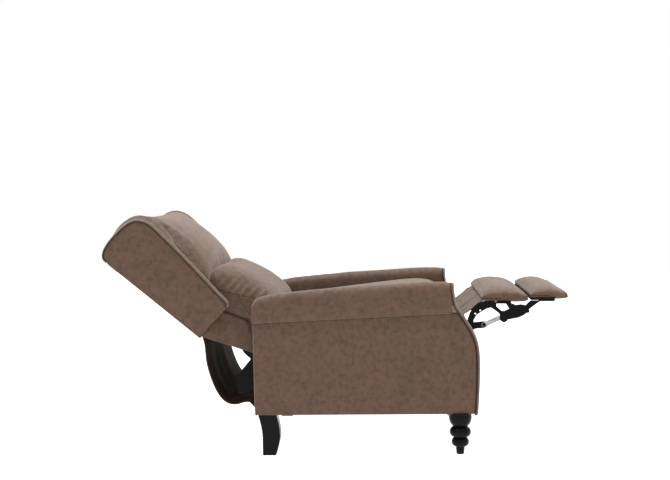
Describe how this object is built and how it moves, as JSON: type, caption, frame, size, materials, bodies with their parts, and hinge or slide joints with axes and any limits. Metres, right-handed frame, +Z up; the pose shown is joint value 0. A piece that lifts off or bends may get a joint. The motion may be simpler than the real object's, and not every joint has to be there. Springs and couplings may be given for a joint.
{
  "type": "reclining armchair",
  "caption": "Wing-back reclining armchair, shown leaned back with its folding footrest out, on turned front legs and sabre rear legs.",
  "frame": {"origin": "on the floor under the centre of the reclined chair's bounding box", "axes": "+Z up, the chair faces -Y, +X is the sitter's left"},
  "size_m": [0.7, 1.6496, 0.8346],
  "materials": {
    "upholstery": "brushed brown faux suede",
    "timber": "raw sawn",
    "black_wood": "black satin lacquer",
    "black_steel": "black paint",
    "zinc_steel": "bright zinc"
  },
  "bodies": {
    "base": {"arm_frame_left": "timber", "arm_frame_right": "timber", "arm_front_panel_left": "upholstery", "arm_front_panel_right": "upholstery", "arm_inner_panel_left": "upholstery", "arm_inner_panel_right": "upholstery", "arm_outer_panel_left": "upholstery", "arm_outer_panel_right": "upholstery", "arm_roll_left": "upholstery", "arm_roll_right": "upholstery", "corner_blocks": "timber", "front_leg_left": "black_wood", "front_leg_right": "black_wood", "front_rail": "timber", "mechanism_rail_left": "black_steel", "mechanism_rail_right": "black_steel", "rear_flap": "upholstery", "rear_leg_left": "black_wood", "rear_leg_right": "black_wood", "rear_rail": "timber"},
    "front_swing": {"front_swing_links": "black_steel"},
    "rear_swing": {"rear_swing_links": "black_steel"},
    "seat": {"front_flap": "upholstery", "seat_cushion": "upholstery", "seat_deck": "upholstery", "seat_front_rail": "timber", "seat_plate_left": "black_steel", "seat_plate_right": "black_steel", "seat_rear_rail": "timber", "seat_side_rail_left": "timber", "seat_side_rail_right": "timber"},
    "back": {"back_bracket_left": "black_steel", "back_bracket_right": "black_steel", "back_low_rail": "timber", "back_middle_rail": "timber", "back_outer_panel": "upholstery", "back_post_left": "timber", "back_post_right": "timber", "back_top_rail": "timber", "head_cushion": "upholstery", "lower_back_pad": "upholstery", "lumbar_cushion": "upholstery", "wing_left": "upholstery", "wing_right": "upholstery"},
    "drive": {"drive_link_left": "black_steel", "drive_link_right": "black_steel", "drive_tube": "black_steel"},
    "silver": {"silver_link_left": "zinc_steel", "silver_link_right": "zinc_steel"},
    "steady": {"arm_link_left": "black_steel", "arm_link_right": "black_steel"},
    "ottoman": {"ottoman_board": "timber", "ottoman_bracket_left": "black_steel", "ottoman_bracket_right": "black_steel", "ottoman_pad": "upholstery"},
    "flipper": {"flipper_board": "timber", "flipper_link_left": "black_steel", "flipper_link_right": "black_steel", "flipper_pad": "upholstery"}
  },
  "joints": [
    {"name": "back_recline", "type": "hinge", "parent": "base", "child": "back", "pos_m": [0, 0.228, 0.255], "axis": [1, 0, 0], "range_deg": [0, 41.2]},
    {"name": "front_swing", "type": "hinge", "parent": "base", "child": "front_swing", "pos_m": [0, -0.191, 0.25], "axis": [1, 0, 0], "range_deg": [-40.05, 0.05]},
    {"name": "rear_swing", "type": "hinge", "parent": "base", "child": "rear_swing", "pos_m": [0, 0.069, 0.25], "axis": [1, 0, 0], "range_deg": [-40.05, 0.05]},
    {"name": "seat_glide", "type": "hinge", "parent": "front_swing", "child": "seat", "pos_m": [0, -0.14029, 0.35876], "axis": [1, 0, 0], "range_deg": [-0.05, 40.05]},
    {"name": "footrest_fold", "type": "hinge", "parent": "seat", "child": "drive", "pos_m": [0, -0.386, 0.44], "axis": [1, 0, 0], "range_deg": [0, 113.31]},
    {"name": "silver_pivot", "type": "hinge", "parent": "drive", "child": "silver", "pos_m": [0, -0.5217, 0.4528], "axis": [1, 0, 0], "range_deg": [-86.6, 0.05]},
    {"name": "ottoman_pivot", "type": "hinge", "parent": "silver", "child": "ottoman", "pos_m": [0, -0.595, 0.485], "axis": [1, 0, 0], "range_deg": [-0.05, 63.3]},
    {"name": "steady_pivot", "type": "hinge", "parent": "drive", "child": "steady", "pos_m": [0, -0.47626, 0.44851], "axis": [1, 0, 0], "range_deg": [-64.7, 0.05]},
    {"name": "flipper_pivot", "type": "hinge", "parent": "ottoman", "child": "flipper", "pos_m": [0, -0.669, 0.504], "axis": [1, 0, 0], "range_deg": [-0.05, 180.1]}
  ],
  "couplings": [
    {"joint": "front_swing", "follows": "back_recline", "ratio": -0.97087},
    {"joint": "rear_swing", "follows": "back_recline", "ratio": -0.97087},
    {"joint": "seat_glide", "follows": "back_recline", "ratio": 0.97087},
    {"joint": "silver_pivot", "follows": "footrest_fold", "ratio": -0.76346},
    {"joint": "ottoman_pivot", "follows": "footrest_fold", "ratio": 0.55773},
    {"joint": "steady_pivot", "follows": "footrest_fold", "ratio": -0.56993},
    {"joint": "flipper_pivot", "follows": "footrest_fold", "ratio": 1.5885}
  ]
}
